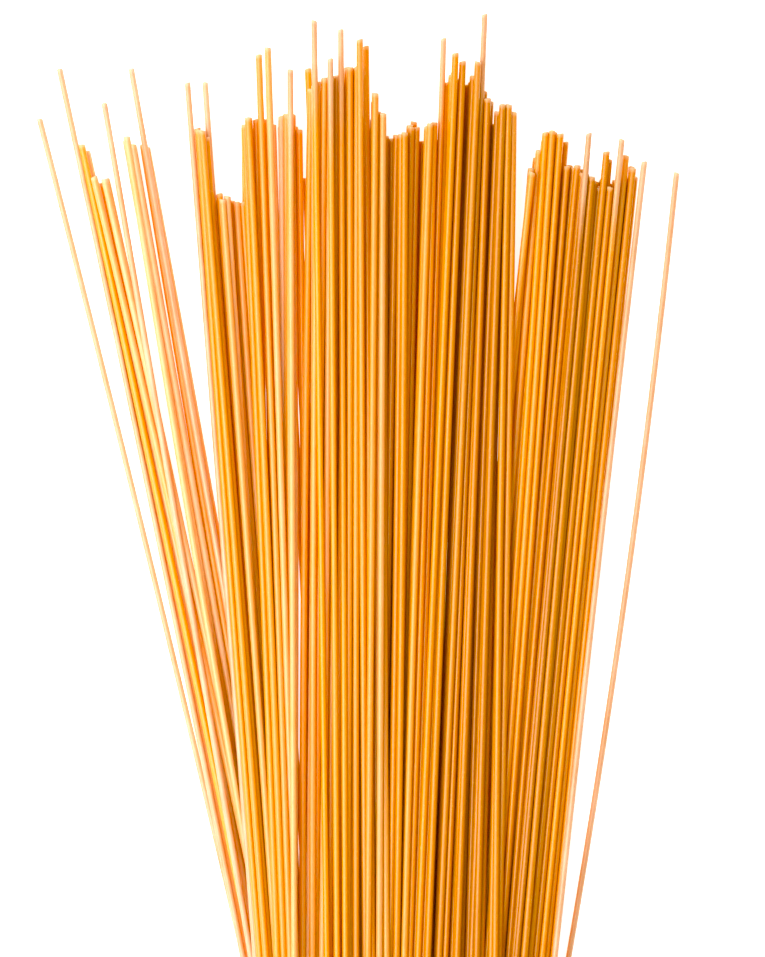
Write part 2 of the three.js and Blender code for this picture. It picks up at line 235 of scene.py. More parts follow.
# %% Lay every strand, turn by turn and layer by layer
def lay_strands():
    """All strands in the order they are laid: in each turn the single ones, then the locks by layers."""
    chance = make_random(SEED)
    laid = []
    for turn in range(TURNS):
        for single in (one for one in SINGLES if one.turn == turn):
            length = STRAND_LENGTH + LENGTH_SPREAD * either(chance)
            laid.append(strand(single.tip, single.reach, single.waist, single.bow, length, SINGLE_DRIFT))
        locks = [lock for lock in LOCKS if lock.turn == turn]
        deepest = max([lock.layers for lock in locks], default=0)
        for layer in range(deepest):
            for lock in (one for one in locks if layer < one.layers):
                laid += lay_layer(lock, layer, chance)
    return np.array(laid).T.copy()


tip, reach, waist, bow, foot, drift = lay_strands()
print(len(tip), "strands are laid")

# %% [markdown]
# ## Settling the heap
#
# The strands start a little above each other in the order they were laid, and then sink together. At
# stations along the bundle two strands are two circles in one plane. Where the circles overlap, each strand
# is pushed half the way, and the push is shared between its two ends like the load on a beam. This is far
# quicker than a physics simulation of rods, and no strand is bent by it, as dry pasta would break first.

# %% Where the strands touch
FIRST_STATION = -72
LAST_STATION = 240
STATION_STEP = 12
STATIONS = np.arange(FIRST_STATION, LAST_STATION, STATION_STEP)
print(len(STATIONS), "stations along the bundle")


def cut_by_stations(reach, foot):
    """For each strand and station: its share from foot to tip and from waist to tip, and if it is there."""
    rise = (STATIONS - foot[:, None]) / (reach - foot)[:, None]
    along = STATIONS / reach[:, None]
    there = (rise >= 0) & (rise <= 1)
    return rise, along, there


def middle_lines(tip, waist, bow, foot_height, tip_height, rise, along):
    """Where each strand's middle is at each station: across the bundle, and above the table."""
    across = waist[:, None] * (1 - along) + tip[:, None] * along + bow[:, None] * 4 * along * (1 - along)
    height = foot_height[:, None] * (1 - rise) + tip_height[:, None] * rise
    return across, height


def find_touches(across, height, there):
    """Each overlap: the earlier and the later strand, the station, the way between them, and its depth."""
    near = np.abs(across[None] - across[:, None]) < STRAND_DIAMETER
    both_there = there[None] & there[:, None]
    each_pair_once = np.triu(np.ones(near.shape[:2], bool), 1)[:, :, None]
    one, other, station = np.nonzero(near & both_there & each_pair_once)
    dx = across[other, station] - across[one, station]
    dz = height[other, station] - height[one, station]
    overlap = STRAND_DIAMETER - np.hypot(dx, dz)
    touch = overlap > 0
    return [found[touch] for found in (one, other, station, dx, dz, overlap)]


# %% Push overlaps apart
LATER_ON_TOP = 0.6  # how strongly a strand that is laid later is pushed up and not sideways
PUSH_SHARE = 2.5  # the pushes on one strand are averaged, times this


def push_apart(across, height, there, rise, along):
    """How far each strand's foot and tip are pushed up, and its waist and tip sideways."""
    number = len(across)
    one, other, station, dx, dz, overlap = find_touches(across, height, there)
    up = dz + LATER_ON_TOP * overlap
    half = overlap / 2 / np.hypot(dx, up)
    who = np.concatenate([one, other])
    where = np.concatenate([station, station])
    move_x = np.concatenate([-half * dx, half * dx])
    move_z = np.concatenate([-half * up, half * up])
    r = rise[who, where]
    a = along[who, where]
    lift = move_z / (r * r + (1 - r) * (1 - r))
    shift = move_x / (a * a + (1 - a) * (1 - a))
    count = np.bincount(who, minlength=number)
    share = np.minimum(1, PUSH_SHARE / np.maximum(count, 1))
    return [
        np.bincount(who, weights=push, minlength=number) * share
        for push in (lift * (1 - r), lift * r, shift * (1 - a), shift * a)
    ]


# %% Let the heap sink
START_RISE = 0.05  # each strand starts this much above the one laid before it
SINK = 0.04  # and sinks by this much in the first pass, and by less in each later one
SINK_PASSES = 390
PASSES = 600
WAIST_PULL = 0.03  # share of its drift that a strand is pulled back each pass
TIP_PULL = 0.09
LEAST_PULL = 0.1  # the pull fades with the sinking, but never below this share
OUTSIDE = WAIST_RIGHT + 1  # a strand that is laid past this at the waist isn't held within the bundle


def settle(tip, reach, waist, bow, foot, drift):
    """Lets the heap sink. Gives back each strand's tip and waist, and the heights of its foot and tip."""
    rise, along, there = cut_by_stations(reach, foot)
    free = waist > OUTSIDE
    drawn_tip = tip.copy()
    drawn_waist = waist.copy()
    foot_height = STRAND_RADIUS + START_RISE * np.arange(len(tip))
    tip_height = foot_height.copy()
    for done in range(PASSES):
        fade = max(0, 1 - done / SINK_PASSES)
        foot_height -= SINK * fade
        tip_height -= SINK * fade
        across, height = middle_lines(tip, waist, bow, foot_height, tip_height, rise, along)
        push_foot, push_tip, push_waist, push_out = push_apart(across, height, there, rise, along)
        foot_height = np.maximum(foot_height + push_foot, STRAND_RADIUS)
        tip_height = np.maximum(tip_height + push_tip, STRAND_RADIUS)
        pull = max(fade, LEAST_PULL)
        waist = waist + push_waist
        tip = tip + push_out
        waist += (drawn_waist - waist) * WAIST_PULL * pull
        tip += (drawn_tip - tip) * TIP_PULL * pull
        waist = np.clip(waist, drawn_waist - drift, drawn_waist + drift)
        tip = np.clip(tip, drawn_tip - drift, drawn_tip + drift)
        waist = np.where(free, waist, np.clip(waist, WAIST_LEFT, WAIST_RIGHT))
    return tip, waist, foot_height, tip_height


# %% Settle the strands, and measure what is left
def depths_left():
    """How far the settled strands still sink into each other, in millimetres."""
    rise, along, there = cut_by_stations(reach, foot)
    across, height = middle_lines(tip, waist, bow, foot_height, tip_height, rise, along)
    return find_touches(across, height, there)[-1]


tip, waist, foot_height, tip_height = settle(tip, reach, waist, bow, foot, drift)
deep = depths_left()
print(len(deep), "touches are left, on average", round(deep.mean(), 3), "mm deep")
print("the deepest of them is", round(deep.max(), 2), "mm deep")
print("the highest strand lies", round(foot_height.max() + STRAND_RADIUS, 1), "mm above the table")

# %% [markdown]
# ## From places to lines
#
# Each strand is now a foot, a tip and a small bow. It becomes a line of points in metres. The points lie
# close together at both ends, where the cut is shaped, and far apart between them, where the rod only bows.
# The lines are then moved as one, until their middle and the solid's are over the same spot of the table.

# %% Draw the lines
END_PLACES = [0, 0.12, 0.3, 0.7, 2.0]  # of the points at an end, where the cut is shaped
MIDDLE_POINTS = 17


def ring_places(length):
    """Distances from the foot at which a strand gets a ring."""
    ends = np.array(END_PLACES)
    middle = np.linspace(0, length, MIDDLE_POINTS + 2)[1:-1]
    return np.concatenate([ends, middle, length - ends[::-1]])


def strand_lines():
    """Each strand as a row of points, from its foot to its tip."""
    points = []
    for i in range(len(tip)):
        length = math.hypot(reach[i] - foot[i], (tip[i] - waist[i]) / reach[i] * (reach[i] - foot[i]))
        y = foot[i] + (reach[i] - foot[i]) * ring_places(length) / length
        share = y / reach[i]
        rise = (y - foot[i]) / (reach[i] - foot[i])
        x = waist[i] + (tip[i] - waist[i]) * share + bow[i] * 4 * share * (1 - share)
        z = foot_height[i] * (1 - rise) + tip_height[i] * rise
        points.append(np.stack([x, y, z], axis=1))
    return np.array(points)


def shift_to_solid(points):
    """How far the lines move to have their middle where the solid's middle is."""
    low = points.reshape(-1, 3).min(0)
    high = points.reshape(-1, 3).max(0)
    middle = (np.array(low_corner) + np.array(high_corner)) / 2 / MM
    shift = middle - (low + high) / 2
    shift[2] = low_corner.z / MM
    return shift


lines = strand_lines()
shift = shift_to_solid(lines)
lines = (lines + shift) * MM
print(lines.shape[0], "lines of", lines.shape[1], "points, shifted by", np.round(shift, 2), "mm")

# %% [markdown]
# ## A tone for each strand, with painted light and shade
#
# Strands of one lock were dried side by side, so they share a tone: a table says, by where the tip stands,
# how ripe the amber is and how much pale bloom lies on it. The same table paints light and shade: strands
# are deeper and browner where they lie in shade and in the grooves between locks, and paler with more bloom
# where the light falls and on a few low strands that the heap leaves in shade. Strands that stand alone are
# a little thinner. Those that strayed out on the bare table are painted tan, brown under a pale bloom that
# stands in for the white table's light around them, and so are the free ends of the other lone ones. These
# numbers could be drawn at random for each strand, but then no lock would look like one.

# %% The table of tones, with painted light and shade
# Ripeness is 0 for pale amber, 1 for deep amber and 2 for brown; deep and brown places are partly painted
# shade.
# Bloom is the share of a pale colour that is partly flour dust and partly painted sheen, most where light
# falls.
ToneAndPaintedLight = namedtuple("ToneAndPaintedLight", "tip ripeness bloom")
TONES_AND_PAINTED_LIGHT = [
    ToneAndPaintedLight(-80, 0.1, 0.3),
    ToneAndPaintedLight(-73, 0.3, 0.25),
    ToneAndPaintedLight(-66, 0.0, 0.3),
    ToneAndPaintedLight(-52, 0.5, 0.1),
    ToneAndPaintedLight(-48, 0.7, 0.05),
    ToneAndPaintedLight(-44.5, 0.0, 0.3),
    ToneAndPaintedLight(-43.6, 0.9, 0.03),
    ToneAndPaintedLight(-42.7, 0.0, 0.25),
    ToneAndPaintedLight(-38, 0.6, 0.08),
    ToneAndPaintedLight(-34, 0.6, 0.1),
    ToneAndPaintedLight(-30, 0.0, 0.35),
    ToneAndPaintedLight(-24, 0.0, 0.4),
    ToneAndPaintedLight(-20, 0.3, 0.2),
    ToneAndPaintedLight(-14, 0.4, 0.1),
    ToneAndPaintedLight(-10, 0.8, 0.12),
    ToneAndPaintedLight(-4, 0.7, 0.12),
    ToneAndPaintedLight(0, 1.4, 0.0),
    ToneAndPaintedLight(5, 0.9, 0.03),
    ToneAndPaintedLight(9.5, 0.4, 0.06),
    ToneAndPaintedLight(14, 0.9, 0.03),
    ToneAndPaintedLight(17, 1.5, 0.0),
    ToneAndPaintedLight(20, 1.2, 0.03),
    ToneAndPaintedLight(23, 1.6, 0.0),
    ToneAndPaintedLight(25.5, 1.9, 0.0),
    ToneAndPaintedLight(28.5, 0.8, 0.05),
    ToneAndPaintedLight(34, 0.3, 0.15),
    ToneAndPaintedLight(38, 0.5, 0.08),
    ToneAndPaintedLight(42, 0.9, 0.04),
    ToneAndPaintedLight(45, 1.3, 0.0),
    ToneAndPaintedLight(47, 2.2, 0.0),
    ToneAndPaintedLight(50, 0.8, 0.04),
    ToneAndPaintedLight(53, 1.4, 0.0),
    ToneAndPaintedLight(57, 0.5, 0.05),
    ToneAndPaintedLight(61, 1.5, 0.0),
]
print(len(TONES_AND_PAINTED_LIGHT), "tones from left to right")

# %% Which strands stand alone, and how pale they are
LONE_GAP = 1.5 * STRAND_DIAMETER  # no other tip is as near to a lone one
MUCH_LOWER = 3  # a strand that ends this much lower doesn't count as a neighbour
FAR_OFF = 100
LONE_GIRTH = 0.88
STRAY_TIPS = (-46, 61)  # left of the first and right of the second, a lone strand lies on the bare table
STRAY_RIPENESS = 2.0
# A stray strand's pale bloom is painted light, standing in for the white table's light around it.
STRAY_PAINTED_PALENESS = 0.5
PALE_END = 27  # a lone strand's free end turns tan at this distance from its tip,
PALE_FADE = 18  # and is as tan as a stray one this much closer to the tip


def stand_alone():
    """Which strands stick out with no other tip beside them."""
    ends_lower = reach[None] < reach[:, None] - MUCH_LOWER
    beside = np.abs(tip[None] - tip[:, None]) + FAR_OFF * ends_lower
    np.fill_diagonal(beside, FAR_OFF)
    return beside.min(1) > LONE_GAP


lone = stand_alone()
stray = lone & ((tip < STRAY_TIPS[0]) | (tip > STRAY_TIPS[1]))
from_tip = np.linalg.norm(lines[:, -1:] - lines, axis=2) / MM
tan_share = np.clip((PALE_END - from_tip) / PALE_FADE, 0, 1) * lone[:, None]
tan_share = np.maximum(tan_share, stray[:, None])
print(lone.sum(), "strands stand alone, of which", stray.sum(), "lie on the bare table")

# %% The lines as one mesh of edges, with the numbers that each strand carries
TONE_SEED = 11


def write_numbers(mesh, name, values):
    layer = mesh.attributes.new(name, "FLOAT", "POINT")
    layer.data.foreach_set("value", values.ravel().astype(np.float32))


def line_mesh(lines):
    """One mesh with a line of edges for each strand, and the strand's numbers on its points."""
    number, count, _ = lines.shape
    start = np.arange(number)[:, None] * count + np.arange(count - 1)
    edges = np.stack([start, start + 1], axis=-1).reshape(-1, 2)
    mesh = bpy.data.meshes.new("spaghetti_lines")
    mesh.from_pydata(lines.reshape(-1, 3).tolist(), edges.tolist(), [])
    chance = make_random(TONE_SEED)
    own_tone = np.array([next(chance) for _ in range(number)])
    own_dust_and_sheen = np.array([2 * next(chance) for _ in range(number)])
    # The table's ripeness is partly painted shade, and its bloom partly painted sheen; both go onto the
    # points.
    places, ripeness, bloom = np.array(TONES_AND_PAINTED_LIGHT).T
    ripeness = np.interp(tip, places, ripeness)[:, None]
    bloom = (own_dust_and_sheen * np.interp(tip, places, bloom))[:, None]
    write_numbers(mesh, "ripeness", ripeness * (1 - tan_share) + STRAY_RIPENESS * tan_share)
    write_numbers(mesh, "bloom", bloom * (1 - tan_share) + STRAY_PAINTED_PALENESS * tan_share)
    write_numbers(mesh, "tone", np.repeat(own_tone, count))
    write_numbers(mesh, "fullness", np.repeat(np.where(lone, LONE_GIRTH, 1.0), count))
    return mesh


spaghetti = bpy.data.objects.new("spaghetti_strands", line_mesh(lines))
bpy.context.scene.collection.objects.link(spaghetti)
print("the mesh of lines has", len(spaghetti.data.edges), "edges and no faces yet")

# %% [markdown]
# ## From lines to rods
#
# A strand is dough pressed through a round hole, dried, and cut. So it is a circle swept along its line,
# which is just what Curve to Mesh does. The tree below also gives each rod what the press and the blade
# leave: a thickness that wanders a little, a rounded rim at each cut, and a cut that is never quite square.

# %% Small helpers for node trees
def add_node(tree, kind, settings=None, **inputs):
    """Adds a node, sets its properties, and fills or links its inputs by their names."""
    node = tree.nodes.new(kind)
    for name, value in (settings or {}).items():
        setattr(node, name, value)
    for name, value in inputs.items():
        fill(tree, node.inputs[name.replace("_", " ")], value)
    return node


def fill(tree, socket, value):
    if isinstance(value, bpy.types.NodeSocket):
        tree.links.new(value, socket)
    else:
        socket.default_value = value


def maths(tree, operation, *values):
    node = tree.nodes.new("ShaderNodeMath")
    node.operation = operation
    for socket, value in zip(node.inputs, values):
        fill(tree, socket, value)
    return node.outputs[0]


def dot(tree, first, second):
    """How far one vector runs along another."""
    node = add_node(tree, "ShaderNodeVectorMath", {"operation": "DOT_PRODUCT"})
    tree.links.new(first, node.inputs[0])
    tree.links.new(second, node.inputs[1])
    return node.outputs["Value"]


def scaled(tree, vector, factor):
    node = add_node(tree, "ShaderNodeVectorMath", {"operation": "SCALE"}, Vector=vector, Scale=factor)
    return node.outputs["Vector"]


# %% Numbers that stay on the points under a name
def named(tree, name, kind="FLOAT"):
    node = add_node(tree, "GeometryNodeInputNamedAttribute", {"data_type": kind})
    node.inputs["Name"].default_value = name
    return node.outputs["Attribute"]


def keep_as(tree, geometry, name, value, kind="FLOAT"):
    """Stores a value on the points under a name that the later nodes and the material can read."""
    node = add_node(tree, "GeometryNodeStoreNamedAttribute", {"data_type": kind, "domain": "POINT"})
    node.inputs["Name"].default_value = name
    tree.links.new(geometry, node.inputs["Geometry"])
    fill(tree, node.inputs["Value"], value)
    return node.outputs["Geometry"]


def measured_curves(tree, lines):
    """Turns the lines into curves that know how far along a point stands, and which way the rod runs."""
    curves = add_node(tree, "GeometryNodeMeshToCurve", Mesh=lines).outputs["Curve"]
    so_far = tree.nodes.new("GeometryNodeSplineParameter").outputs["Length"]
    whole = tree.nodes.new("GeometryNodeSplineLength").outputs["Length"]
    from_end = maths(tree, "MINIMUM", so_far, maths(tree, "SUBTRACT", whole, so_far))
    way = tree.nodes.new("GeometryNodeInputTangent").outputs[0]
    curves = keep_as(tree, curves, "from_end", from_end)
    curves = keep_as(tree, curves, "so_far", so_far)
    return keep_as(tree, curves, "way", way, "FLOAT_VECTOR")


# %% Thickness: a slow swelling along the rod, and a rounded rim at each cut
OWN_NUMBER = 100.0  # a strand's tone times this sets it well apart from all others
SWELL_SCALE = 60.0


def swelling(tree, seed):
    """A slow noise along the rod, around 0, that no two rods share."""
    own = maths(tree, "MULTIPLY", named(tree, "tone"), OWN_NUMBER)
    seeded = maths(tree, "ADD", own, seed)
    place = add_node(tree, "ShaderNodeCombineXYZ", X=named(tree, "so_far"), Y=seeded).outputs[0]
    swell = add_node(tree, "ShaderNodeTexNoise", Vector=place, Scale=SWELL_SCALE, Detail=1.0).outputs["Fac"]
    return maths(tree, "SUBTRACT", swell, 0.5)


def rim_loss(tree, rounding):
    """What a quarter circle takes off at the rod's ends: 1 at the very end, 0 where the rounding starts."""
    inwards = maths(tree, "SUBTRACT", 1.0, maths(tree, "DIVIDE", named(tree, "from_end"), rounding))
    inwards = maths(tree, "MAXIMUM", inwards, 0.0)
    left = maths(tree, "SUBTRACT", 1.0, maths(tree, "POWER", inwards, 2.0))
    return maths(tree, "SUBTRACT", 1.0, maths(tree, "SQRT", left))


def rod_girth(tree, entry, radius):
    """How thick the rod is along its way, as a share of its full thickness."""
    uneven = maths(tree, "MULTIPLY", swelling(tree, entry["Seed"]), entry["Unevenness"])
    rim = rim_loss(tree, maths(tree, "MULTIPLY", entry["Rim rounding"], radius))
    lost = maths(tree, "MULTIPLY", rim, entry["Rim rounding"])
    girth = maths(tree, "SUBTRACT", maths(tree, "ADD", 1.0, uneven), lost)
    return maths(tree, "MULTIPLY", girth, named(tree, "fullness"))


# %% The cut: the rod's end slides along it, more on one side than on the other
CUT_ZONE = 2.0  # millimetres at each end that slide, most of all at the very end
CUT_TURNS = 40.0  # radians, so many that each strand is cut another way


def slanted_cuts(tree, rods, entry):
    share = maths(tree, "MULTIPLY", named(tree, "from_end"), 1 / (CUT_ZONE * MM))
    near = maths(tree, "MAXIMUM", maths(tree, "SUBTRACT", 1.0, share), 0.0)
    turn = maths(tree, "MULTIPLY", maths(tree, "ADD", named(tree, "tone"), entry["Seed"]), CUT_TURNS)
    sine = maths(tree, "SINE", turn)
    cosine = maths(tree, "COSINE", turn)
    lean = add_node(tree, "ShaderNodeCombineXYZ", X=sine, Y=cosine).outputs[0]
    side = dot(tree, named(tree, "ring", "FLOAT_VECTOR"), lean)
    slide = maths(tree, "MULTIPLY", maths(tree, "MULTIPLY", side, entry["Cut slant"]), near)
    offset = scaled(tree, named(tree, "way", "FLOAT_VECTOR"), slide)
    return add_node(tree, "GeometryNodeSetPosition", Geometry=rods, Offset=offset).outputs[0]


# %% The tree that sweeps a rod along each line
ROD_INPUTS = {
    "Diameter": "Float",
    "Sides": "Int",
    "Unevenness": "Float",
    "Rim rounding": "Float",
    "Cut slant": "Float",
    "Seed": "Float",
    "Finish": "Material",
}
WALL_CORNERS = 4  # a face of the rod's wall has four corners, and the face of a cut has more


def rod_tree():
    tree = bpy.data.node_groups.new("rods_along_lines", "GeometryNodeTree")
    tree.interface.new_socket("Lines", in_out="INPUT", socket_type="NodeSocketGeometry")
    for name, kind in ROD_INPUTS.items():
        tree.interface.new_socket(name, in_out="INPUT", socket_type="NodeSocket" + kind)
    tree.interface.new_socket("Rods", in_out="OUTPUT", socket_type="NodeSocketGeometry")
    entry = tree.nodes.new("NodeGroupInput").outputs

    # The circle that is swept; where a point stands on it is kept, for the cut and for the material.
    radius = maths(tree, "MULTIPLY", entry["Diameter"], 0.5)
    circle = add_node(tree, "GeometryNodeCurvePrimitiveCircle", Resolution=entry["Sides"], Radius=radius)
    spot = tree.nodes.new("GeometryNodeInputPosition").outputs[0]
    profile = keep_as(tree, circle.outputs["Curve"], "ring", spot, "FLOAT_VECTOR")

    curves = measured_curves(tree, entry["Lines"])
    girth = rod_girth(tree, entry, radius)
    sweep = add_node(tree, "GeometryNodeCurveToMesh", Curve=curves, Profile_Curve=profile, Scale=girth)
    sweep.inputs["Fill Caps"].default_value = True
    rods = slanted_cuts(tree, sweep.outputs["Mesh"], entry)

    corners = tree.nodes.new("GeometryNodeInputMeshFaceNeighbors").outputs["Vertex Count"]
    is_wall = maths(tree, "LESS_THAN", corners, WALL_CORNERS + 0.5)
    smooth = add_node(tree, "GeometryNodeSetShadeSmooth", Geometry=rods, Shade_Smooth=is_wall)
    real = add_node(tree, "GeometryNodeRealizeInstances", Geometry=smooth.outputs[0])
    finish = add_node(tree, "GeometryNodeSetMaterial", Geometry=real.outputs[0], Material=entry["Finish"])
    tree.links.new(finish.outputs[0], tree.nodes.new("NodeGroupOutput").inputs["Rods"])
    return tree


rods_along_lines = rod_tree()
print("the tree that makes the rods has", len(rods_along_lines.nodes), "nodes")

# %% [markdown]
# ## The finish of dry pasta
#
# Dried durum dough is amber and lets some light in: a gap between two strands glows golden instead of going
# black. The surface is satin, with fine lines along the strand from the press, pale grains of semolina, a
# thin pale bloom and a dusty, paler cut. The bloom is partly flour dust and partly painted sheen, laid on
# where the light falls. The colour goes from pale amber through deep amber to brown by the ripeness that
# each strand carries, which is partly its own tone and partly painted shade, with a little chance of its
# own.
# All of it is read from the strand's own coordinates, so the lines run along each strand whichever way it
# lies.

# %% Small helpers for the material
def noise(tree, vector, scale, detail=2.0, roughness=0.5):
    node = add_node(tree, "ShaderNodeTexNoise", Vector=vector, Scale=scale, Detail=detail)
    node.inputs["Roughness"].default_value = roughness
    return node.outputs["Fac"]


def spread(tree, value, old, new=(0.0, 1.0)):
    """Stretches the part of a value between the old limits over the new ones."""
    node = tree.nodes.new("ShaderNodeMapRange")
    for name, number in zip(("From Min", "From Max", "To Min", "To Max"), (*old, *new)):
        node.inputs[name].default_value = number
    tree.links.new(value, node.inputs["Value"])
    return node.outputs["Result"]


def blend_colour(tree, share, first, second):
    node = tree.nodes.new("ShaderNodeMix")
    node.data_type = "RGBA"
    fill(tree, node.inputs[0], share)
    fill(tree, node.inputs[6], first)
    fill(tree, node.inputs[7], second)
    return node.outputs[2]


def attribute(tree, name):
    return add_node(tree, "ShaderNodeAttribute", {"attribute_name": name}).outputs


def set_looks(shader, looks):
    """Sets numbers and colours that are the same all over a surface."""
    for name, value in looks.items():
        shader.inputs[name].default_value = value


# %% The patterns: streaks from the press, cloudy patches, specks of semolina
STREAK_SCALE = 2600.0
STREAK_LENGTHS = (1.0, 1.0, 0.03)  # a small number along the strand draws the streaks out into long lines
CLOUD_SCALE = 55.0
SPECK_SCALE = 3200.0
CLOUD_LIMITS = (0.3, 0.7)  # nearly all of the clouds' values lie between these


def pasta_patterns(tree):
    grain = attribute(tree, "grain")["Vector"]
    drawn_out = add_node(tree, "ShaderNodeMapping", Vector=grain)
    drawn_out.inputs["Scale"].default_value = STREAK_LENGTHS
    streaks = noise(tree, drawn_out.outputs[0], STREAK_SCALE, detail=2.0, roughness=0.6)
    clouds = noise(tree, grain, CLOUD_SCALE, detail=3.0, roughness=0.55)
    specks = noise(tree, grain, SPECK_SCALE, detail=1.0)
    return streaks, clouds, specks


# %% The colour
PALE = (1.0, 0.33, 0.015, 1.0)
DEEP = (0.74, 0.245, 0.002, 1.0)
BROWN = (0.5, 0.15, 0.001, 1.0)
# Pale colour of the dust on the cuts and of the bloom, which is partly painted sheen.
DUST_AND_SHEEN_COLOUR = (1.0, 0.66, 0.47, 1.0)
GRAIN_PALE = (0.98, 0.55, 0.12, 1.0)
OWN_RIPENESS = (-0.12, 0.12)  # what a strand's own chance adds to its ripeness
CLOUD_RIPENESS = (-0.1, 0.1)
CLOUD_DUST_AND_SHEEN = (0.7, 1.3)  # the bloom of dust and painted sheen times this, from the clearest to the palest patch
STREAK_LIMITS = (0.5, 0.75)
STREAK_STRENGTH = (0.0, 0.35)
SPECK_LIMITS = (0.66, 0.74)
SPECK_STRENGTH = (0.0, 0.5)


def pasta_colour(tree, streaks, clouds, specks, cut_dust):
    own = spread(tree, attribute(tree, "tone")["Fac"], (0.0, 1.0), OWN_RIPENESS)
    ripeness = maths(tree, "ADD", attribute(tree, "ripeness")["Fac"], own)
    ripeness = maths(tree, "ADD", ripeness, spread(tree, clouds, CLOUD_LIMITS, CLOUD_RIPENESS))
    # Ripeness is partly each lock's own tone and partly painted shade: deep and brown where strands lie in
    # shade.
    colour = blend_colour(tree, spread(tree, ripeness, (0.0, 1.0)), PALE, DEEP)
    colour = blend_colour(tree, spread(tree, ripeness, (1.0, 2.0)), colour, BROWN)
    colour = blend_colour(tree, spread(tree, streaks, STREAK_LIMITS, STREAK_STRENGTH), colour, DEEP)
    colour = blend_colour(tree, spread(tree, specks, SPECK_LIMITS, SPECK_STRENGTH), colour, GRAIN_PALE)
    # The bloom is partly flour dust and partly painted sheen: a pale colour laid on the strands where light
    # falls.
    patchiness = spread(tree, clouds, CLOUD_LIMITS, CLOUD_DUST_AND_SHEEN)
    bloom = maths(tree, "MULTIPLY", attribute(tree, "bloom")["Fac"], patchiness)
    colour = blend_colour(tree, bloom, colour, DUST_AND_SHEEN_COLOUR)
    return blend_colour(tree, cut_dust, colour, DUST_AND_SHEEN_COLOUR)


# %% The whole material
PASTA_BODY = {
    "Subsurface Weight": 0.6,
    "Subsurface Radius": (1.0, 0.8, 0.4),
    "Subsurface Scale": 0.002,
    "IOR": 1.5,
    "Specular IOR Level": 0.7,
}
SATIN = (0.33, 0.43)  # roughness, from the smoothest to the roughest patch
CUT_REACH = 0.0012  # metres over which the dust of a cut fades out along the strand
CUT_DUST = 0.6
CUT_ROUGHNESS = 0.3
STREAK_RELIEF = 0.7
SPECK_RELIEF = 0.5
RELIEF_STRENGTH = 0.15
RELIEF_DEPTH = 0.00005


def dry_pasta():
    material = bpy.data.materials.new("amber_pasta")
    material.use_nodes = True
    tree = material.node_tree
    shader = tree.nodes["Principled BSDF"]
    set_looks(shader, PASTA_BODY)

    streaks, clouds, specks = pasta_patterns(tree)
    cut_dust = spread(tree, attribute(tree, "from_end")["Fac"], (0.0, CUT_REACH), (CUT_DUST, 0.0))
    colour = pasta_colour(tree, streaks, clouds, specks, cut_dust)
    tree.links.new(colour, shader.inputs["Base Color"])

    cut_rough = maths(tree, "MULTIPLY", cut_dust, CUT_ROUGHNESS)
    rough = maths(tree, "ADD", spread(tree, clouds, CLOUD_LIMITS, SATIN), cut_rough)
    tree.links.new(rough, shader.inputs["Roughness"])

    lines = maths(tree, "MULTIPLY", streaks, STREAK_RELIEF)
    relief = maths(tree, "ADD", lines, maths(tree, "MULTIPLY", specks, SPECK_RELIEF))
    bump = add_node(tree, "ShaderNodeBump", Height=relief, Strength=RELIEF_STRENGTH, Distance=RELIEF_DEPTH)
    tree.links.new(bump.outputs[0], shader.inputs["Normal"])
    return material


pasta = dry_pasta()
print("the finish", pasta.name, "has", len(pasta.node_tree.nodes), "nodes")

# %% [markdown]
# ## Making the rods real
#
# The tree now runs once on the lines. Its result is turned into a plain mesh, because only a plain mesh can
# ride on the part's body. The strand's own coordinates are then written on the mesh: where a point stands on
# the circle, and how far along the strand it is, with every strand starting elsewhere.

# %% Run the tree and keep the mesh
ROD_SIZES = {
    "Diameter": STRAND_DIAMETER * MM,
    "Sides": 14,
    "Unevenness": 0.08,  # as a share of the thickness
    "Rim rounding": 0.22,  # as a share of the radius
    "Cut slant": 0.18,  # as a slope
    "Seed": 3.0,
    "Finish": pasta,
}


def set_inputs(modifier, values):
    for item in modifier.node_group.interface.items_tree:
        if item.in_out == "INPUT" and item.name in values:
            modifier[item.identifier] = values[item.name]


def make_real(obj):
    """Works the object's modifiers out into one plain mesh, and takes them off."""
    depsgraph = bpy.context.evaluated_depsgraph_get()
    mesh = bpy.data.meshes.new_from_object(obj.evaluated_get(depsgraph), depsgraph=depsgraph)
    obj.modifiers.clear()
    obj.data = mesh


rods = spaghetti.modifiers.new("rods", "NODES")
rods.node_group = rods_along_lines
set_inputs(rods, ROD_SIZES)
make_real(spaghetti)
spaghetti.data.name = "spaghetti_strands"
spaghetti.data.calc_loop_triangles()
print("the strands have", len(spaghetti.data.loop_triangles), "triangles")

# %% Write the strand's own coordinates on the mesh
STRAND_PITCH = 0.5  # metres between the starts of two strands in the material's own coordinates
FINISH_READS = ("tone", "ripeness", "bloom", "from_end", "grain")


def read_numbers(mesh, name, key="value", width=1):
    numbers = np.zeros(len(mesh.vertices) * width, np.float32)
    mesh.attributes[name].data.foreach_get(key, numbers)
    return numbers


def write_grain(mesh):
    grain = read_numbers(mesh, "ring", "vector", 3).reshape(-1, 3)
    start = read_numbers(mesh, "tone") * OWN_NUMBER * STRAND_PITCH
    grain[:, 2] = read_numbers(mesh, "so_far") + start
    layer = mesh.attributes.new("grain", "FLOAT_VECTOR", "POINT")
    layer.data.foreach_set("vector", grain.ravel())
    for spent in ("ring", "so_far", "way", "fullness"):
        mesh.attributes.remove(mesh.attributes[spent])


write_grain(spaghetti.data)
kept = [name for name in spaghetti.data.attributes.keys() if name in FINISH_READS]
print("for its finish each point of the mesh keeps", ", ".join(kept))

# %% The strands take the solid's place
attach(spaghetti, "root")
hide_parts(NODE)
print("the strands stand in for", NODE)

# %% [markdown]
# ## The table
#
# The bundle lies on a plain white table that glows like a light table, so the ground stays pure white and
# shows no shadow. A bright white floor under strong lamps would do the same, but the lamps would also bleach
# the strands.

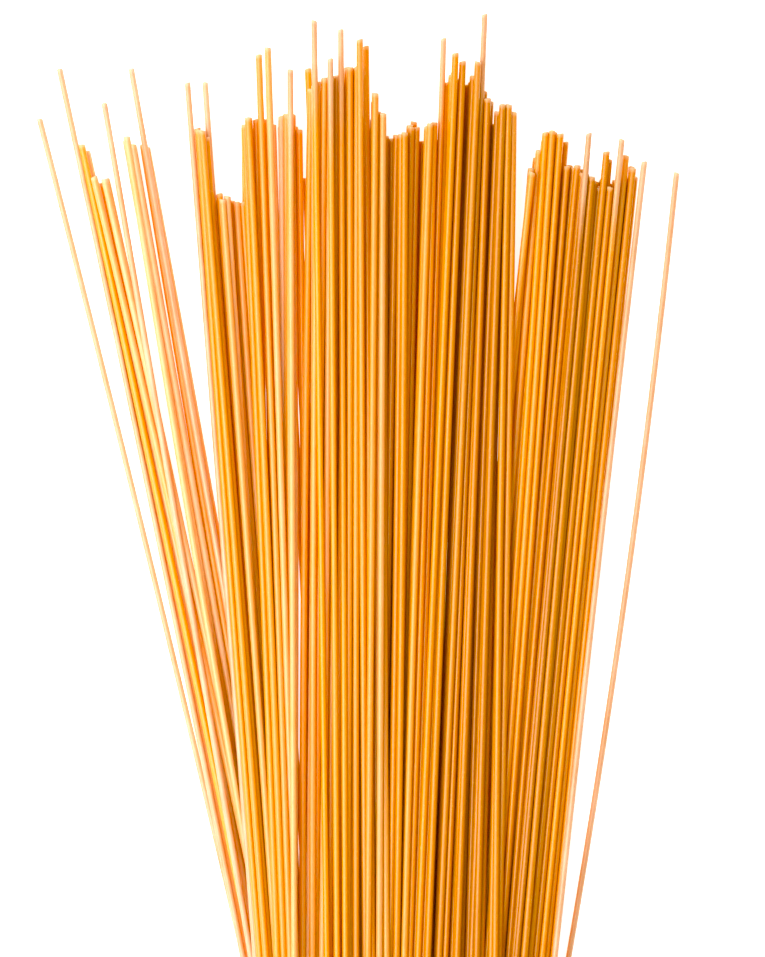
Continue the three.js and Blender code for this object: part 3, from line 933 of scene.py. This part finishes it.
# %% Lay out the table
TABLE_SIDE = 6.0
TABLE_LOOKS = {
    "Base Color": (0.93, 0.93, 0.93, 1.0),
    "Roughness": 0.8,
    "Emission Color": (1.0, 1.0, 1.0, 1.0),
    "Emission Strength": 0.75,
}


def white_table():
    material = bpy.data.materials.new("white_table")
    material.use_nodes = True
    set_looks(material.node_tree.nodes["Principled BSDF"], TABLE_LOOKS)
    half = TABLE_SIDE / 2
    mesh = bpy.data.meshes.new("table")
    corners = [(-half, -half, 0), (half, -half, 0), (half, half, 0), (-half, half, 0)]
    mesh.from_pydata(corners, [], [(0, 1, 2, 3)])
    mesh.materials.append(material)
    table = bpy.data.objects.new("table", mesh)
    table.location.z = low_corner.z
    bpy.context.scene.collection.objects.link(table)
    return table


table = white_table()
print("the table is", TABLE_SIDE, "m square")

# %% [markdown]
# ## The light
#
# One soft light hangs close by on the left: the locks there get more of it, and the right flank of every
# strand stays darker. A weak light from all round keeps the grooves readable. The black point of the render
# is raised in blue alone, which keeps the shadows between the strands golden, not grey.

# %% Hang the light
ROOM_LIGHT = 0.6  # how strongly the room shines from all round
BLACK_POINT = (0.0, 0.0, 0.055)


def soft_light(name, azimuth, elevation, distance, size, watts):
    """A square soft light that looks at the bundle; azimuth 0 is to the right and 90 towards the tips."""
    light = bpy.data.lights.new(name, "AREA")
    light.size = size
    light.energy = watts
    lamp = bpy.data.objects.new(name, light)
    turn = math.radians(azimuth)
    lift = math.radians(elevation)
    away = Vector((math.cos(turn) * math.cos(lift), math.sin(turn) * math.cos(lift), math.sin(lift)))
    lamp.location = away * distance
    lamp.rotation_mode = "QUATERNION"
    lamp.rotation_quaternion = (-away).to_track_quat("-Z", "Y")
    bpy.context.scene.collection.objects.link(lamp)
    return lamp


lamp = soft_light("window_light", azimuth=178, elevation=60, distance=0.45, size=0.4, watts=2.85)
room = bpy.data.worlds.new("room")
room.use_nodes = True
set_looks(room.node_tree.nodes["Background"], {"Color": (1.0, 1.0, 1.0, 1.0), "Strength": ROOM_LIGHT})
bpy.context.scene.world = room
view = bpy.context.scene.view_settings
view.view_transform = "Standard"
view.use_curve_mapping = True
view.curve_mapping.black_level = BLACK_POINT
view.curve_mapping.update()
print("the light hangs", round(lamp.location.z, 2), "m above the table")

# %% [markdown]
# ## The camera
#
# The camera looks straight down, so that the fan is seen in its true shape. A short lens close by would
# show the outer strands from their sides. The lens is long and far away, so all are seen from above.

# %% Set up the camera
RENDER_HIGH = 957  # pixels
MM_PER_PIXEL = 0.25
VIEW_MIDDLE_X = -3.9  # how far right of the bundle's middle at the waist the camera stands
LENS = 250
SENSOR = 36
CAMERA_REACH = 100  # metres that the camera sees

view_high = RENDER_HIGH * MM_PER_PIXEL
camera = bpy.data.cameras.new("camera")
camera.lens = LENS
camera.sensor_width = SENSOR
camera.clip_end = CAMERA_REACH
eye = bpy.data.objects.new("camera", camera)
eye.location = (
    (VIEW_MIDDLE_X + shift[0]) * MM,
    (view_high / 2 + shift[1]) * MM,
    (view_high / SENSOR * LENS + high_corner.z / MM / 2) * MM,
)
bpy.context.scene.collection.objects.link(eye)
bpy.context.scene.camera = eye
print("the camera stands", round(eye.location.z, 2), "m above the table")
